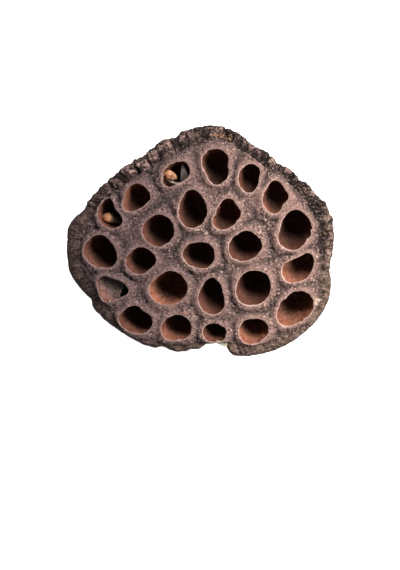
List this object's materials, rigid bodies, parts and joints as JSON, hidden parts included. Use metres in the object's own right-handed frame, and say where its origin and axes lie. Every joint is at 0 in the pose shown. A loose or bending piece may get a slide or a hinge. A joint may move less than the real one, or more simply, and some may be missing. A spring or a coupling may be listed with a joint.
{
  "type": "dried lotus pod",
  "caption": "Dried lotus seed pod, a funnel-shaped woody receptacle with a flat face of lipped seed cavities, a wrinkled rim and a few withered seeds, standing face up on its cut stem.",
  "frame": {"origin": "centre of the flat stem cut that the pod stands on", "axes": "+Z out of the face with the cavities, +X along the pod's widest way across the face, +Y across it towards the side away from the notch"},
  "size_m": [0.0997, 0.0863, 0.0539],
  "materials": {
    "pod_tissue": "dry, matte, finely pitted and wrinkled, mauve brown with pale lips and red-brown cavity walls",
    "seed": "dry tan seed with a papery coat",
    "seed_skin": "thin wrinkled grey-brown skin"
  },
  "bodies": {
    "root": {"pod": "pod_tissue", "seed_top": "seed", "seed_left": "seed", "seed_coat": "seed_skin"}
  },
  "joints": []
}
